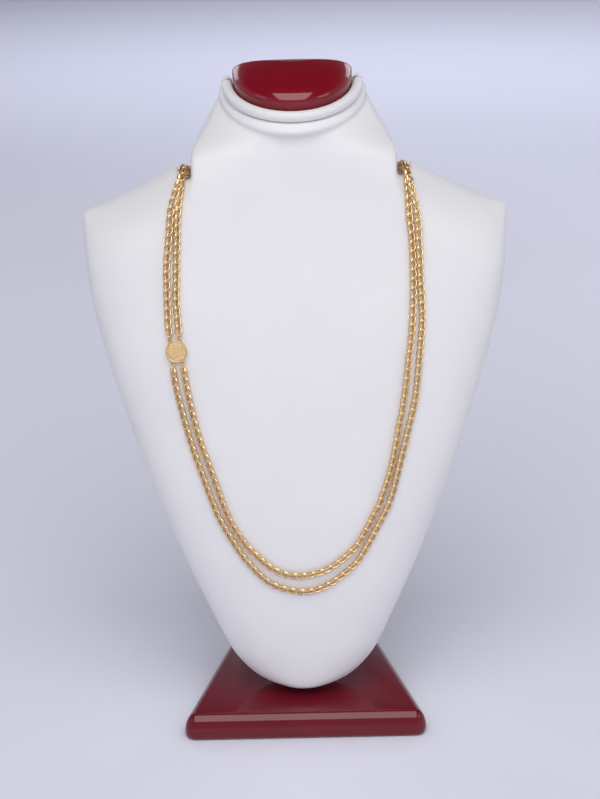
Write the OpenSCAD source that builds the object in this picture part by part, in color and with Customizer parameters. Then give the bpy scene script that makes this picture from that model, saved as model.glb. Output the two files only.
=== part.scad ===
// A two-strand necklace on its neck bust.
// The necklace is two strands of oval twisted links that part at a round side disc and
// share one clasp behind the neck. The bust is a white body with a flat back, notched on both sides
// of the neck for the chain. It leans back on a post that stands on a lacquered base.
// The origin is at the middle of the base's underside, the front faces -Y and Z is up.

/* [Base] */
// Width of the base along its front edge, at the foot
base_w = 145.6; // [130:0.2:165]
// Width of the base along its back edge, at the foot
base_back_w = 99.6; // [80:0.2:120]
// Depth of the base from front to back
base_d = 110; // [90:1:130]
// Height of the base
base_h = 16; // [14:0.5:20]
// Radius of the base's corners in plan
base_corner = 7; // [4:0.5:12]

/* [Post] */
// Width of the post
post_w = 19; // [14:1:40]
// Thickness of the post
post_t = 12; // [8:1:16]
// Length of the post up the bust's back
post_len = 150; // [100:5:200]

/* [Bust] */
// Angle by which the bust leans back, in degrees
lean = 7.5; // [4:0.5:9]
// Distance of the bust's back in front of the base's middle, at the foot
bust_fwd = 6; // [4:1:10]
// Height of the foot of the bust's back above the floor
bust_lift = 20; // [19.5:0.5:26]
// Half width of the bust at the arms
arm_w = 123.8; // [123.8:0.1:124]
// Share of the bust's thickness that is side wall
wall_share = 0.45; // [0.4:0.01:0.5]
// Height over which the shoulders roll back to the ridge
roll_h = 40; // [36:1:44]
// Thickness that is left at the shoulders' ridge
ridge_t = 3; // [2:0.5:4]
// Height of the floor of the two notches beside the neck
notch_z = 308; // [307.5:0.1:308.5]

/* [Cap and roll] */
// Half width of the cap
cap_w = 34.5; // [34:0.5:35]
// Depth of the cap in front of its widest line
cap_d = 42.5; // [42:0.5:43]
// Height of the cap above the neck's top
cap_h = 18.6; // [14:0.2:20]
// Thickness of the roll round the cap, across it
roll_w = 6; // [5.5:0.1:6.2]
// Height of the roll round the cap
roll_t = 5.6; // [5:0.1:6]

/* [Chain] */
// Pitch of the chain's links
pitch = 5.16; // [5.1:0.01:5.2]
// Thickness of a link's wire
wire_d = 0.9; // [0.85:0.05:1]
// Width of a link
link_w = 3.95; // [3.8:0.05:4]
// Half length of a link, to the middle of its wire
link_half = 3.36; // [3.33:0.01:3.4]
// Angle by which each half of a link is twisted, in degrees
link_twist = 54; // [52:1:56]
// Height of a strand's middle above the bust
ride_h = 1.75; // [1.7:0.05:1.9]

/* [Disc and clasp] */
// Diameter of the side disc
disc_d = 12.3; // [11.8:0.1:12.6]
// Thickness of the side disc without its relief
disc_t = 1.7; // [1.5:0.1:1.9]
// Length of the clasp's bar
clasp_l = 9; // [8:0.5:10]

/* [Hidden] */

lacquer = [0.48, 0.10, 0.17];
leather_white = [0.90, 0.89, 0.92];
gold = [0.83, 0.68, 0.42];

// Half widths and front depths of the bust from its tip to the shoulders.
// Columns: height, half width, depth in front of the back at the middle
BUST_ROWS = [
  [-2.3, 8, 28], [-1, 15, 28.5], [1.5, 23.6, 29], [5, 29.5, 30], [11, 35.8, 31.5], [20, 43, 34],
  [30, 48, 36.5], [40, 52.5, 39], [50, 56.8, 41], [62, 62, 43.5], [76, 68, 46], [95, 75.4, 48.5],
  [114, 82.5, 50.5], [132, 89.2, 52], [169, 101, 53.6], [205, 111.7, 53.8], [223, 116.2, 53],
  [240, 119.4, 51.8], [255, 121.4, 50.2], [270, 122.7, 48.8], [290, arm_w, 47],
  [320, arm_w, 46]];
flat_rows = 19;                       // rows of the table that the mesh takes as level rows
split_z = BUST_ROWS[flat_rows - 1][0];
tip_z = -3.3;                         // where the front's roll at the tip starts
tip_roll = 3;                         // height of that roll
arm_z = 290;                          // height of the shoulder line at the arms
peak_x = 69.3;                        // where the shoulder line meets the notch
peak_rise = 24.8;                     // how far it has risen there
corner_drop = 2;                      // rounding of the arms' upper corners
neck_x = 58.4;                        // half width of the neck at the notches
neck_swell = 0.9;                     // how fast the shoulders' roll dies out under the neck
notch_out_x = 66;                     // outer end of a notch's floor

// Parts of the way from 255 mm up to the shoulder line or the neck's foot
RISE = [0.25, 0.45, 0.62, 0.76, 0.87, 0.94, 0.98, 1];
// Mesh columns of the neck's half, as parts of its half width
NECK_COLS = [0, 0.16, 0.32, 0.48, 0.63, 0.76, 0.87, 0.95, 1];
// Mesh columns from the notch to the arm
ARM_COLS = [notch_out_x, peak_x, 76, 83, 91, 99, 106, 112, 117, 120.5, 122.7, 123.8];
nn = len(NECK_COLS) - 1;
half_cols = concat([for (k = NECK_COLS) k * neck_x], ARM_COLS);
hc = len(half_cols) - 1;
cols = concat([for (i = [hc : -1 : 1]) -half_cols[i]], half_cols);
last_c = 2 * hc;
last_r = flat_rows + len(RISE) - 1;
left_n = hc - nn;                     // column where the neck starts on the left
right_n = hc + nn;                    // and where it ends on the right

// Sections of the neck. Columns: height at the back, half width, depth, fall towards the
// front, and how far the section has turned from the chest's form to a half ellipse
NECK_ROWS = [
  [308, 58.4, 46, 0, 0], [313, 58.4, 46.2, 0.015, 0.025], [319, 58.5, 46.3, 0.035, 0.06],
  [325, 58.3, 46.6, 0.085, 0.11], [330, 56.6, 46.8, 0.13, 0.2], [336, 53.5, 47.2, 0.2, 0.35],
  [342, 50, 47.8, 0.28, 0.5], [347.5, 47, 48.4, 0.37, 0.66], [352, 44.5, 49, 0.44, 0.82],
  [354.8, 43, 49.7, 0.48, 0.93], [356.4, 42.6, 50.5, 0.49, 1], [358.4, 42.8, 51.8, 0.49, 1],
  [359.8, 42.2, 51.3, 0.49, 1], [361, 41.1, 50.1, 0.49, 1], [362.5, 39.8, 48.4, 0.49, 1]];
last_n = len(NECK_ROWS) - 1;
top_z = NECK_ROWS[last_n][0];
top_tilt = atan(NECK_ROWS[last_n][3]);

// Rounded side of the base. Columns: inset from its widest line, part of its height
BASE_EDGE = [[3.2, 0], [1.3, 0.04], [0.2, 0.14], [0, 0.24], [0.1, 0.38], [0.7, 0.55],
  [2.05, 0.75], [3.9, 0.9], [5.5, 0.98]];

// Cap and roll, in the plane of the neck's top
cap_back = 4;                         // the cap's rounded back behind its widest line
cap_s = -6;                           // that line's place, from the bust's back
cap_gap = 0.3;                        // between the cap and the roll
cap_pull = -10;                       // the dome's rings close in on a point this far forward
// Columns: part of the cap's height, part of its outline
CAP_RINGS = [[0, 1], [0.46, 1], [0.553, 0.985], [0.644, 0.94], [0.736, 0.86], [0.823, 0.74],
  [0.911, 0.55], [0.975, 0.3], [0.995, 0.12]];
cap_steps = 24;

// Link of the chain
link_b = (link_w - wire_d) / 2;       // half width to the middle of the wire
link_square = 0.75;                   // below 1, a link's ends are blunter than an ellipse's
loop_sides = 10;
wire_sides = 5;
link_end = link_half * pow(cos(180 / loop_sides), link_square);

// Disc, its eyes and rings
disc_x = -68.8;
disc_z = 212.2;
disc_low = 0.7;                       // gap under the disc
eye_r = 1;
eye_wire = 0.6;
ring_r = 1.7;
ring_wire = 0.6;
eye_at = disc_d / 2 + eye_r;          // from the disc's middle to an eye's
disc_ride = 2.1;                      // height of the eyes' middles above the bust
link_at = 2.3;                        // from an eye's middle to the end of a strand's first link
ring_turn = 60;                       // a ring's turn, to cross the eye and that link
// Angle at which each eye sits on the disc, and at which its ring hangs from it
UPPER_OUTER = [118, 94];
UPPER_INNER = [74, 93];
LOWER_OUTER = [250, 277];
LOWER_INNER = [298, 277];

// Clasp
clasp_z = 287.5;
clasp_depth = -2.2;
clasp_w = 9;
clasp_t = 2.2;
clasp_eye_r = 1.5;
clasp_eye_wire = 0.8;
strand_gap = 2.5;                     // from the clasp's middle to either strand
clasp_eye_x = clasp_l / 2 + 1.2;
clasp_end_x = clasp_eye_x + 0.3;      // the end of a strand's last link

// How far a strand faces sideways with the bust, at a height: towards the notch it turns
// to face straight ahead
FACING = [[265, 1], [295, 0]];
// Routes over the bust's front. Columns: x, height, lift over the other strand
OUTER_LONG = [
  [-69.5, 191.5, 0], [-65.5, 172.5, 0], [-62, 158.5, 0], [-56, 139, 0], [-48, 115, 0],
  [-38.5, 96.5, 0], [-30.5, 84.5, 0], [-19.5, 73, 0], [-7.5, 68, 0], [4, 67, 0],
  [16, 71.5, 0], [28, 81, 0], [34, 88, 0], [43, 104.5, 0], [51.5, 122.5, 0],
  [57, 143.5, 0], [63.5, 170, 0], [66.5, 184, 0], [68.5, 202.5, 0], [70.5, 225, 0],
  [70.5, 239, 0], [70, 250, 0.3], [69.6, 262, 0.9], [69.2, 272.5, 1.2], [68.5, 283, 2],
  [67.2, 291.5, 3.24], [65.7, 298.5, 4.28], [64.6, 303, 4.16]];
INNER_LONG = [
  [-63.5, 191.5, 0], [-60, 172.5, 0], [-56.5, 158.5, 0], [-51.5, 143, 0], [-42.5, 115, 0],
  [-36, 102.5, 0], [-30.5, 94.5, 0], [-19, 83, 0], [-7.5, 77.5, 0], [4.5, 77.5, 0],
  [16, 81.5, 0], [28, 91, 0], [34, 98.5, 0], [41.5, 113, 0], [46, 122.5, 0],
  [52.5, 143.5, 0], [57, 167, 0], [59.5, 179.5, 0], [62.5, 202.5, 0], [65, 225.5, 0],
  [66, 250, 0], [65.5, 272.5, 0], [64.5, 283, 0], [64, 291.5, 0], [64, 298.5, 0],
  [63.7, 303, 0]];
OUTER_SHORT = [
  [-73, 230.5, 0], [-73, 241.5, 0], [-73, 250.5, 0], [-73, 257.5, 0], [-72.5, 264, 0],
  [-71.5, 273, 0.2], [-70.4, 282, 1], [-69, 290, 3.14], [-66.9, 297, 4.48],
  [-64.9, 302.5, 4.26]];
INNER_SHORT = [
  [-67.5, 232.5, 0], [-68, 241.5, 0], [-67.5, 255, 0], [-67, 268.5, 0], [-66.5, 277.5, 0],
  [-66, 286.5, 0], [-65.2, 296, 0], [-64, 302.5, 0]];
// Route through the right notch and behind the neck. Columns: x, depth in front of the
// back, height, angle of the outside from the front, lift of the outer strand, spread
OVER_NOTCH = [
  [63.62, 40.81, 308.09, 43, 3.18, 0], [63.02, 37.73, 310.71, 63, 3.18, 0],
  [62.42, 33.83, 312.1, 84, 3.18, 0], [61.76, 28.23, 311.5, 94, 3.18, 0],
  [61.5, 21.5, 310.1, 92, 3.18, 0], [61.4, 13, 309.9, 94, 3.18, 0],
  [61.5, 4, 309.9, 100, 3.18, 0], [61.1, -0.2, 309.6, 112, 3.18, 0],
  [59.2, -4.35, 308.4, 122, 3.18, 0], [56.1, -7.25, 306.6, 132, 3.18, 0],
  [51.9, -8.45, 304.4, 142, 3.18, 0], [47, -7.95, 302, 153, 3.18, 0],
  [41.5, -6.33, 299, 167, 3.18, 0.3], [35.6, -4.4, 295.8, 174, 3, 1.1],
  [26.8, -2.9, 292, 180, 2.1, 2], [17.5, -2.2, 289.3, 180, 0.6, 2.4],
  [11, -2.2, 288.2, 180, 0, 2.5]];

// Numbers of links, found from each strand's length
route_steps = 6;
tube_step = 18;                       // a plain strand has a ring every this many mm
tube_bend = 26;                       // or degrees of bend, whichever adds up first
tube_sides = 8;
tube_w = 1.8;
tube_h = 1.35;
tube_back = 1.9;                      // a plain strand stops this far from its route's ends

function mix(a, b, t) = a + (b - a) * t;
function unit(v) = v / norm(v);
function column(rows, key, value) = [for (r = rows) [r[key], r[value]]];
function clamp01(t) = min(max(t, 0), 1);
function quad(a, b, c, d) = [[a, b, c], [a, c, d]];
function fan(f) = [for (i = [1 : len(f) - 2]) [f[0], f[i], f[i + 1]]];
function flat1(lists) = [for (l = lists, e = l) e];

// Form of the bust's front: its depth in front of the back, at x and height z
function half_w(z) = lookup(z, column(BUST_ROWS, 0, 1));
function mid_depth(z) = lookup(z, column(BUST_ROWS, 0, 2));
function shoulder_z(x) =
  arm_z + peak_rise * pow(max(arm_w + 0.2 - abs(x), 0) / (arm_w + 0.2 - peak_x), 1.25)
  + neck_swell * pow(max(peak_x - abs(x), 0), 1.2);
function quarter(t) = sqrt(1 - pow(1 - clamp01(t), 2));
function crown(u, z) =
  (1 - 0.1 * u * u) * sqrt(max(1 - pow(u, lookup(z, [[0, 2.6], [120, 6]])), 0));
function body_depth(x, z) = mid_depth(z) * (wall_share + (1 - wall_share)
  * crown(min(abs(x) / half_w(z), 1), z) * quarter((z - tip_z) / tip_roll));
function depth(x, z) =
  ridge_t + (body_depth(x, z) - ridge_t) * quarter((shoulder_z(x) - z) / roll_h);
function outside(x, z) = unit([
  (depth(x - 0.5, z) - depth(x + 0.5, z)), -1, (depth(x, z - 0.5) - depth(x, z + 0.5))]);

// Mesh of the bust
function col_top(c) =
  abs(cols[c]) < notch_out_x + 0.1 ? notch_z
  : shoulder_z(cols[c]) - corner_drop * pow(abs(cols[c]) / arm_w, 80);
function row_z(r, c) = r < flat_rows
  ? BUST_ROWS[r][0] : mix(split_z, col_top(c), RISE[r - flat_rows]);
function row_x(r, c) = cols[c] / arm_w * half_w(row_z(r, c));
function front_point(r, c) =
  let (x = row_x(r, c), z = row_z(r, c)) [x, -depth(x, z), z];
function neck_point(r, j) =
  let (row = NECK_ROWS[r], side = sign(j - nn), k = abs(j - nn), q = row[4],
    x = row[1] * mix(NECK_COLS[k], sin(90 * k / nn), q),
    round_d = ridge_t + (row[2] - ridge_t) * cos(90 * k / nn),
    d = mix(depth(neck_x * NECK_COLS[k], notch_z), round_d, q))
  [side * x, -d, row[0] - row[3] * d];

first_neck = (last_r + 1) * (last_c + 1);
neck_n = 2 * nn + 1;
first_left = first_neck + last_n * neck_n;
first_right = first_left + last_r + 1;
first_nleft = first_right + last_r + 1;
first_nright = first_nleft + last_n;
first_top = first_nright + last_n;
first_mid = first_top + 2 * left_n;

function F(r, c) = r * (last_c + 1) + c;
function N(r, j) = r == 0 ? F(last_r, left_n + j) : first_neck + (r - 1) * neck_n + j;
function BL(r) = first_left + r;
function BR(r) = first_right + r;
function outer_index(c) = c <= left_n ? c - 1 : left_n + c - right_n;
function TB(c) = c == 0 ? BL(last_r) : c == last_c ? BR(last_r) : first_top + outer_index(c);
function MB(c) =
  c == 0 ? BL(flat_rows - 1) : c == last_c ? BR(flat_rows - 1) : first_mid + outer_index(c);
function NL(r) = r == 0 ? TB(left_n) : first_nleft + r - 1;
function NR(r) = r == 0 ? TB(right_n) : first_nright + r - 1;

outer_cols = concat([for (c = [1 : left_n]) c], [for (c = [right_n : last_c - 1]) c]);
outer_pairs = concat([for (c = [1 : left_n - 1]) [c, c + 1]], [[left_n, right_n]],
  [for (c = [right_n : last_c - 2]) [c, c + 1]]);

function at_back(p) = [p[0], 0, p[2]];
bust_points = concat(
  [for (r = [0 : last_r], c = [0 : last_c]) front_point(r, c)],
  [for (r = [1 : last_n], j = [0 : 2 * nn]) neck_point(r, j)],
  [for (r = [0 : last_r]) at_back(front_point(r, 0))],
  [for (r = [0 : last_r]) at_back(front_point(r, last_c))],
  [for (r = [1 : last_n]) [-NECK_ROWS[r][1], 0, NECK_ROWS[r][0]]],
  [for (r = [1 : last_n]) [NECK_ROWS[r][1], 0, NECK_ROWS[r][0]]],
  [for (c = outer_cols) at_back(front_point(last_r, c))],
  [for (c = outer_cols) at_back(front_point(flat_rows - 1, c))]);
bust_faces = flat1(concat(
  [for (r = [0 : last_r - 1], c = [0 : last_c - 1])
    quad(F(r, c), F(r + 1, c), F(r + 1, c + 1), F(r, c + 1))],
  [for (r = [0 : last_n - 1], j = [0 : 2 * nn - 1])
    quad(N(r, j), N(r + 1, j), N(r + 1, j + 1), N(r, j + 1))],
  [for (r = [0 : last_r - 1]) quad(BL(r), BL(r + 1), F(r + 1, 0), F(r, 0))],
  [for (r = [0 : last_r - 1]) quad(F(r, last_c), F(r + 1, last_c), BR(r + 1), BR(r))],
  [for (r = [0 : last_n - 1]) quad(NL(r), NL(r + 1), N(r + 1, 0), N(r, 0))],
  [for (r = [0 : last_n - 1]) quad(N(r, 2 * nn), N(r + 1, 2 * nn), NR(r + 1), NR(r))],
  [for (r = [0 : last_n - 1]) quad(NR(r), NR(r + 1), NL(r + 1), NL(r))],
  [for (c = concat([for (i = [0 : left_n - 1]) i], [for (i = [right_n : last_c - 1]) i]))
    quad(F(last_r, c), TB(c), TB(c + 1), F(last_r, c + 1))],
  [for (r = [0 : flat_rows - 3]) quad(BR(r), BR(r + 1), BL(r + 1), BL(r))],
  [fan(concat([BR(flat_rows - 2), MB(last_c)],
    [for (i = [len(outer_cols) - 1 : -1 : 0]) MB(outer_cols[i])],
    [MB(0), BL(flat_rows - 2)]))],
  [for (p = outer_pairs) quad(MB(p[1]), TB(p[1]), TB(p[0]), MB(p[0]))],
  [fan(concat([MB(1), TB(1)], [for (r = [last_r : -1 : flat_rows - 1]) BL(r)]))],
  [fan(concat([MB(last_c - 1)], [for (r = [flat_rows - 1 : last_r]) BR(r)], [TB(last_c - 1)]))],
  [fan(concat([for (c = [0 : last_c]) F(0, c)], [BR(0), BL(0)]))],
  [fan(concat([N(last_n, 0), NL(last_n), NR(last_n)],
    [for (j = [2 * nn : -1 : 1]) N(last_n, j)]))]));

// Outline of the cap and the roll: round in front, flat with round corners at the back
function d_outline(a, w, d, back) =
  [w * cos(a), a <= 180 ? -d * pow(sin(a), 0.95) : back * sqrt(-sin(a))];

// Closed shell over rings of equal length, from a bottom ring to a top one
function rings_faces(rows, n, closed) = flat1(concat(
  [for (r = [0 : rows - 2], i = [0 : n - 1])
    quad(r * n + i, (r + 1) * n + i, (r + 1) * n + (i + 1) % n, r * n + (i + 1) % n)],
  closed ? [] : [fan([for (i = [0 : n - 1]) i]),
    fan([for (i = [n - 1 : -1 : 0]) (rows - 1) * n + i])]));

// Routes of the strands, as rows of a point and the direction that faces out
function disc_axis() = outside(disc_x, disc_z);
function disc_up() = unit(cross(disc_axis(), [1, 0, 0]));
function disc_side() = cross(disc_up(), disc_axis());
function disc_mid() =
  [disc_x, -depth(disc_x, disc_z), disc_z] + disc_axis() * disc_ride;
function on_face(angle, r) = r * cos(angle) * disc_side() + r * sin(angle) * disc_up();
function from_disc(eye, r) = disc_mid() + on_face(eye[0], eye_at) + on_face(eye[1], r);
function on_front(row) =
  let (n = outside(row[0], row[1]), o = unit([n[0] * lookup(row[1], FACING), n[1], n[2]]),
    p = [row[0], -depth(row[0], row[1]), row[1]] + o * (ride_h / (n * o) + row[2]))
  concat(p, o);
function on_notch(row, side, is_outer) =
  let (o = [0, -cos(row[3]), sin(row[3])],
    p = [side * row[0], -row[1], row[2]] + o * (is_outer ? row[4] : 0)
      + [0, 0, is_outer ? row[5] : -row[5]])
  concat(p, o);
function clasp_end(side, is_outer) =
  [side * clasp_end_x, -clasp_depth, clasp_z + (is_outer ? strand_gap : -strand_gap), 0, 1, 0];
function strand_rows(eye, front, side, is_outer) = concat(
  [concat(from_disc(eye, link_at), disc_axis())],
  [for (row = front) on_front(row)],
  [for (row = OVER_NOTCH) on_notch(row, side, is_outer)],
  [clasp_end(side, is_outer)]);

function blend(a, b, c, d, t) = 0.5 * (2 * b + (c - a) * t
  + (2 * a - 5 * b + 4 * c - d) * t * t + (3 * b - 3 * c + d - a) * t * t * t);
function smooth(p) = concat([for (i = [0 : len(p) - 2], k = [0 : route_steps - 1])
  blend(p[max(i - 1, 0)], p[i], p[i + 1], p[min(i + 2, len(p) - 1)], k / route_steps)],
  [p[len(p) - 1]]);
function place(row) = [row[0], row[1], row[2]];
function lengths(p) = [for (i = 0, s = 0; i < len(p);
  i = i + 1, s = i < len(p) ? s + norm(place(p[i]) - place(p[i - 1])) : s) s];
function dir_at(p, i) = unit(place(p[i + 1]) - place(p[i]));
function bend_at(p, i) = i == 0 || i == len(p) - 1
  ? 0 : acos(min(dir_at(p, i - 1) * dir_at(p, i), 1));
function marks(p, s) = [for (i = 0, m = 0; i < len(p); i = i + 1,
  m = i < len(p) ? m + (s[i] - s[i - 1]) / tube_step + bend_at(p, i) / tube_bend : 0) m];
function tables(p, s) = [for (k = [0 : 5]) [for (i = [0 : len(p) - 1]) [s[i], p[i][k]]]];
function at(tab, s) = [for (k = [0 : 5]) lookup(s, tab[k])];

// Frame of a strand at length s: its place, direction, outside and side
function frame_at(tab, s) =
  let (here = at(tab, s), along = unit(place(at(tab, s + 1)) - place(at(tab, s - 1))),
    o = [here[3], here[4], here[5]], out = unit(o - (o * along) * along))
  [place(here), along, out, cross(out, along)];

// One link: an oval loop of wire, twisted along its length
function loop_point(a) =
  let (c = cos(a), s = sin(a), u = link_half * sign(c) * pow(abs(c), link_square),
    v = link_b * sign(s) * pow(abs(s), link_square), turn = link_twist * u / link_half)
  [u, v * cos(turn), v * sin(turn)];
function wire_ring(k) =
  let (step = 360 / loop_sides, p = loop_point((k + 0.5) * step),
    t = unit(loop_point((k + 1.5) * step) - loop_point((k - 0.5) * step)),
    e = unit(p - (p * t) * t), f = cross(t, e))
  [for (j = [0 : wire_sides - 1]) let (w = 360 * j / wire_sides)
    p + wire_d / 2 * (cos(w) * e + sin(w) * f)];
LINK_POINTS = [for (k = [0 : loop_sides - 1], p = wire_ring(k)) p];
LINK_FACES = [for (k = [0 : loop_sides - 1], j = [0 : wire_sides - 1])
  let (k2 = (k + 1) % loop_sides, j2 = (j + 1) % wire_sides)
  each quad(k * wire_sides + j, k2 * wire_sides + j, k2 * wire_sides + j2, k * wire_sides + j2)];

// A strand of real links. The pitch is eased so that a whole number of links fills it.
module linked_strand(rows) {
  path = smooth(rows);
  s = lengths(path);
  tab = tables(path, s);
  total = s[len(s) - 1];
  n = round((total - 2 * link_end) / pitch) + 1;
  step = (total - 2 * link_end) / (n - 1);
  per = len(LINK_POINTS);
  points = [for (i = [0 : n - 1]) let (f = frame_at(tab, link_end + i * step))
    for (p = LINK_POINTS) f[0] + p[0] * f[1] + p[1] * f[3] + p[2] * f[2]];
  faces = [for (i = [0 : n - 1], t = LINK_FACES) [t[0] + i * per, t[1] + i * per, t[2] + i * per]];
  echo(links = n, length = total, pitch = step);
  polyhedron(points, faces);
}

// A strand drawn as a plain oval tube
module plain_strand(rows) {
  path = smooth(rows);
  s = lengths(path);
  tab = tables(path, s);
  total = s[len(s) - 1];
  m = marks(path, s);
  n = ceil(m[len(m) - 1]);
  length_at = [for (i = [0 : len(m) - 1]) [m[i], s[i]]];
  points = [for (i = [0 : n]) let (here = lookup(i / n * m[len(m) - 1], length_at),
    f = frame_at(tab, min(max(here, tube_back), total - tube_back)))
    for (j = [0 : tube_sides - 1]) let (a = 360 * j / tube_sides)
      f[0] + tube_w * cos(a) * f[3] + tube_h * sin(a) * f[2]];
  echo(rings = n + 1, length = total);
  polyhedron(points, rings_faces(n + 1, tube_sides, false));
}

module on_lean() translate([0, -bust_fwd, bust_lift]) rotate([-lean, 0, 0]) children();
module on_top() on_lean() translate([0, 0, top_z]) rotate([top_tilt, 0, 0]) children();
// Turns and moves a shape from its own axes to a strand's side, direction and outside
module set_at(p, side, up, out) multmatrix([
  [side[0], up[0], out[0], p[0]], [side[1], up[1], out[1], p[1]],
  [side[2], up[2], out[2], p[2]], [0, 0, 0, 1]]) children();
module on_disc() on_lean() set_at(disc_mid(), disc_side(), disc_up(), disc_axis()) children();
module torus(r, wire) rotate_extrude($fn = 36) translate([r, 0]) circle(d = wire, $fn = 16);

module base_corner_post() rotate_extrude($fn = 24) polygon(concat([[0, 0]],
  [for (r = BASE_EDGE) [base_corner - r[0], base_h * r[1]]], [[0, base_h]]));
module base() color(lacquer) hull() {
  for (side = [-1, 1]) {
    translate([side * (base_w / 2 - base_corner), base_corner - base_d / 2, 0]) base_corner_post();
    translate([side * (base_back_w / 2 - base_corner), base_d / 2 - base_corner, 0])
      base_corner_post();
  }
}

// The post lies on the bust's back and stands on the base
module post() {
  foot = (base_h - bust_lift) / cos(lean);
  color(lacquer) translate([0, -bust_fwd, bust_lift]) rotate([90, 0, 90])
    translate([0, 0, -post_w / 2]) linear_extrude(post_w) polygon([
      [foot * sin(lean), foot * cos(lean)],
      [foot * sin(lean) + post_t / cos(lean), foot * cos(lean)],
      [post_len * sin(lean) + post_t * cos(lean), post_len * cos(lean) - post_t * sin(lean)],
      [post_len * sin(lean), post_len * cos(lean)]]);
}

module bust() color(leather_white) on_lean() polyhedron(bust_points, bust_faces);

module cap() {
  rings = [for (r = CAP_RINGS, i = [0 : cap_steps - 1])
    let (p = d_outline(360 - 360 * i / cap_steps, cap_w, cap_d, cap_back))
    [p[0] * r[1], cap_s + cap_pull + (p[1] - cap_pull) * r[1], r[0] * cap_h]];
  color(lacquer) on_top() polyhedron(rings, rings_faces(len(CAP_RINGS), cap_steps, false));
}

// The padded roll round the cap, open at the back
module neck_roll() {
  steps = 20;
  w = cap_w + cap_gap + roll_w / 2;
  d = cap_d + cap_gap + roll_w / 2;
  path = concat([[w, -cap_s - 2.2]],
    [for (i = [0 : steps]) d_outline(180 * i / steps, w, d, 0)], [[-w, -cap_s - 2.2]]);
  n = len(path);
  points = [for (i = [0 : n - 1])
    let (t = unit(path[min(i + 1, n - 1)] - path[max(i - 1, 0)]), side = [-t[1], t[0]])
    for (j = [0 : 7]) let (a = 45 * j)
      [path[i][0] + side[0] * roll_w / 2 * cos(a), cap_s + path[i][1] + side[1] * roll_w / 2 * cos(a),
        roll_t / 2 * (1 + sin(a))]];
  color(leather_white) on_top() translate([0, 0, 0.1])
    polyhedron(points, rings_faces(n, 8, false));
}

// The disc with its raised rosette and four soldered eyes
module disc() color(gold) on_disc() {
  foot = disc_low - disc_ride;
  translate([0, 0, foot]) {
    cylinder(d = disc_d - 0.8, h = disc_t, $fn = 64);
    translate([0, 0, 0.2]) rotate_extrude($fn = 64) polygon([
      [disc_d / 2 - 0.9, 0], [disc_d / 2 - 0.15, 0], [disc_d / 2, 0.3],
      [disc_d / 2, disc_t - 0.1], [disc_d / 2 - 0.2, disc_t + 0.1],
      [disc_d / 2 - 0.6, disc_t + 0.1], [disc_d / 2 - 0.9, disc_t - 0.3]]);
    translate([0, 0, disc_t - 0.4]) sphere(r = 1.1, $fn = 24);
    for (i = [0 : 7]) rotate(45 * i) translate([2.6, 0, disc_t - 0.55]) sphere(r = 0.92, $fn = 20);
    for (i = [0 : 15]) rotate(22.5 * i + 11.25) translate([4.35, 0, disc_t - 0.3])
      sphere(r = 0.65, $fn = 16);
  }
  for (a = [UPPER_OUTER, UPPER_INNER, LOWER_OUTER, LOWER_INNER])
    rotate(a[0]) translate([eye_at, 0, 0]) torus(eye_r, eye_wire);
}

// A jump ring through one of the disc's eyes, turned to cross the strand's first link
module jump_ring(eye) color(gold) on_disc() rotate(eye[0]) translate([eye_at, 0, 0])
  rotate(eye[1] - eye[0]) translate([ring_r, 0, 0]) rotate([ring_turn, 0, 0])
    torus(ring_r, ring_wire);
module ring_upper_outer() jump_ring(UPPER_OUTER);
module ring_upper_inner() jump_ring(UPPER_INNER);
module ring_lower_outer() jump_ring(LOWER_OUTER);
module ring_lower_inner() jump_ring(LOWER_INNER);

// A plain bar with an eye for each of the four ends
module clasp() color(gold) on_lean() translate([0, -clasp_depth, clasp_z]) rotate([90, 0, 0]) {
  bar_x = clasp_l / 2;
  bar_y = clasp_w / 2;
  linear_extrude(clasp_t, center = true) polygon([
    [-bar_x, 1 - bar_y], [1 - bar_x, -bar_y], [bar_x - 1, -bar_y], [bar_x, 1 - bar_y],
    [bar_x, bar_y - 1], [bar_x - 1, bar_y], [1 - bar_x, bar_y], [-bar_x, bar_y - 1]]);
  for (sx = [-1, 1], sy = [-1, 1])
    translate([sx * clasp_eye_x, sy * strand_gap, 0]) rotate([sx * ring_turn, 0, 0])
      torus(clasp_eye_r, clasp_eye_wire);
}

module chain_outer_long() color(gold) on_lean()
  linked_strand(strand_rows(LOWER_OUTER, OUTER_LONG, 1, true));
module chain_outer_short() color(gold) on_lean()
  plain_strand(strand_rows(UPPER_OUTER, OUTER_SHORT, -1, true));
module chain_inner_long() color(gold) on_lean()
  plain_strand(strand_rows(LOWER_INNER, INNER_LONG, 1, false));
module chain_inner_short() color(gold) on_lean()
  plain_strand(strand_rows(UPPER_INNER, INNER_SHORT, -1, false));

base();
post();
bust();
neck_roll();
cap();
disc();
ring_upper_outer();
ring_upper_inner();
ring_lower_outer();
ring_lower_inner();
clasp();
chain_outer_long();
chain_outer_short();
chain_inner_long();
chain_inner_short();
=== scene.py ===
# %% [markdown]
# # A two-strand necklace on its neck bust
#
# The object is a gold-plated necklace of two strands with a small round disc at one side, lying on
# a white display bust with a burgundy cap, post and foot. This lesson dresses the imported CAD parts
# with finer surfaces and real finishes. Every new piece is a formula on a grid of numbers, so the
# whole object can be followed from its sizes. They are in millimetres until a mesh is made.

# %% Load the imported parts
import bmesh
import bpy
import numpy as np
from mathutils import Matrix


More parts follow.
